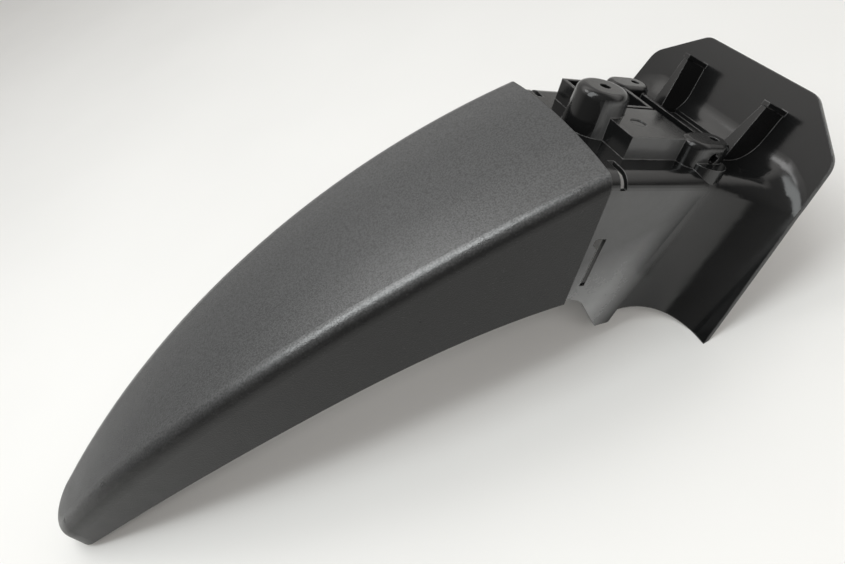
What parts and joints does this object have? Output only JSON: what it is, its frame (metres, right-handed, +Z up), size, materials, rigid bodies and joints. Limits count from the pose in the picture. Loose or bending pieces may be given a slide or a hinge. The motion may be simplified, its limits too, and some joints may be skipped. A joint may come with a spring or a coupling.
{
  "type": "scooter front fender",
  "caption": "Moulded plastic scooter front fender: long arched blade, stepped-in neck with screw bosses, ribs and clip slots, and a flared end plate with gussets.",
  "frame": {"origin": "centre of the bounding box, on the floor the part lies on", "axes": "+X from the blade's tip to the end plate, +Y across the part, +Z up, with the part lying on its tip and the end plate's feet"},
  "size_m": [0.4976, 0.1756, 0.1299],
  "materials": {
    "black_plastic": "fine moulded grain on the blade, smooth satin gloss on the neck and end plate"
  },
  "bodies": {
    "root": {"fender": "black_plastic"}
  },
  "joints": []
}
